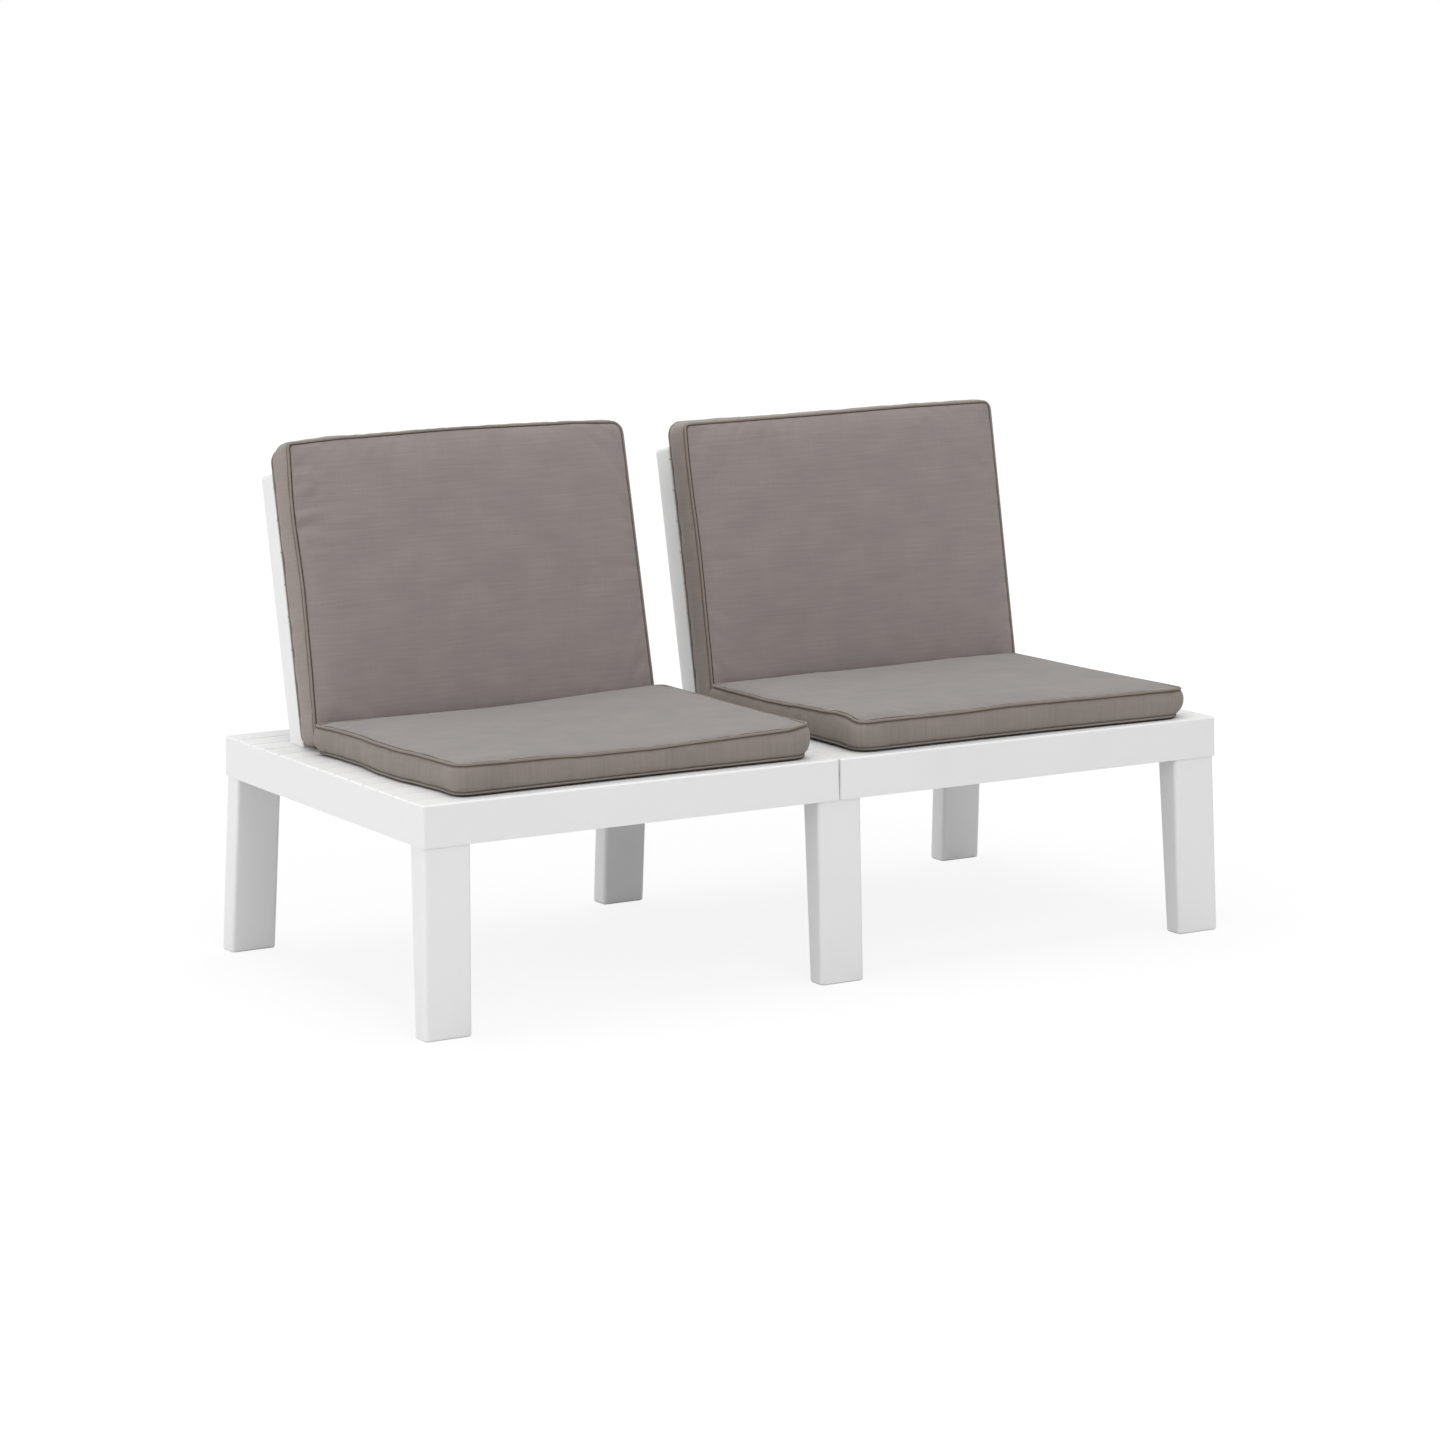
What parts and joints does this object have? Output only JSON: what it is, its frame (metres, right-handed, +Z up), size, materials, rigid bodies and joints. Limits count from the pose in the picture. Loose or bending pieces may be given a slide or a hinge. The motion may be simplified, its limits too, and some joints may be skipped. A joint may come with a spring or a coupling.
{
  "type": "modular garden bench",
  "caption": "Low modular garden lounge bench: moulded planked decks on tapered plug-in legs, leaning plug-in backrests and loose piped box cushions.",
  "frame": {"origin": "centre of the bench's footprint on the floor", "axes": "+X along the bench, -Y towards its front, +Z up"},
  "size_m": [1.1882, 0.6156, 0.6911],
  "materials": {
    "white_resin": "white moulded resin, fine satin grain",
    "cushion_fabric": "taupe woven outdoor fabric",
    "piping_fabric": "woven piping, a touch more olive than the cushions' cloth",
    "foam": "open-cell cushion foam"
  },
  "bodies": {
    "frame": {"deck_left": "white_resin", "deck_right": "white_resin", "leg_front_left": "white_resin", "leg_front_centre": "white_resin", "leg_front_right": "white_resin", "leg_rear_left": "white_resin", "leg_rear_centre": "white_resin", "leg_rear_right": "white_resin"},
    "backrest_left": {"backrest_left": "white_resin"},
    "seat_cushion_left": {"seat_cushion_left_cover": "cushion_fabric", "seat_cushion_left_foam": "foam", "seat_cushion_left_piping_lower": "piping_fabric", "seat_cushion_left_piping_upper": "piping_fabric"},
    "back_cushion_left": {"back_cushion_left_cover": "cushion_fabric", "back_cushion_left_foam": "foam", "back_cushion_left_piping_lower": "piping_fabric", "back_cushion_left_piping_upper": "piping_fabric"},
    "backrest_right": {"backrest_right": "white_resin"},
    "seat_cushion_right": {"seat_cushion_right_cover": "cushion_fabric", "seat_cushion_right_foam": "foam", "seat_cushion_right_piping_lower": "piping_fabric", "seat_cushion_right_piping_upper": "piping_fabric"},
    "back_cushion_right": {"back_cushion_right_cover": "cushion_fabric", "back_cushion_right_foam": "foam", "back_cushion_right_piping_lower": "piping_fabric", "back_cushion_right_piping_upper": "piping_fabric"}
  },
  "joints": [
    {"name": "backrest_left_pull", "type": "slide", "parent": "frame", "child": "backrest_left", "axis": [0, 0.2028, 0.9792], "range_m": [0, 0.07]},
    {"name": "seat_cushion_left_lift", "type": "slide", "parent": "frame", "child": "seat_cushion_left", "axis": [0, 0, 1], "range_m": [0, 0.42]},
    {"name": "back_cushion_left_lift", "type": "slide", "parent": "frame", "child": "back_cushion_left", "axis": [0, 0.2028, 0.9792], "range_m": [0, 0.42]},
    {"name": "backrest_right_pull", "type": "slide", "parent": "frame", "child": "backrest_right", "axis": [0, 0.2028, 0.9792], "range_m": [0, 0.07]},
    {"name": "seat_cushion_right_lift", "type": "slide", "parent": "frame", "child": "seat_cushion_right", "axis": [0, 0, 1], "range_m": [0, 0.42]},
    {"name": "back_cushion_right_lift", "type": "slide", "parent": "frame", "child": "back_cushion_right", "axis": [0, 0.2028, 0.9792], "range_m": [0, 0.42]}
  ]
}
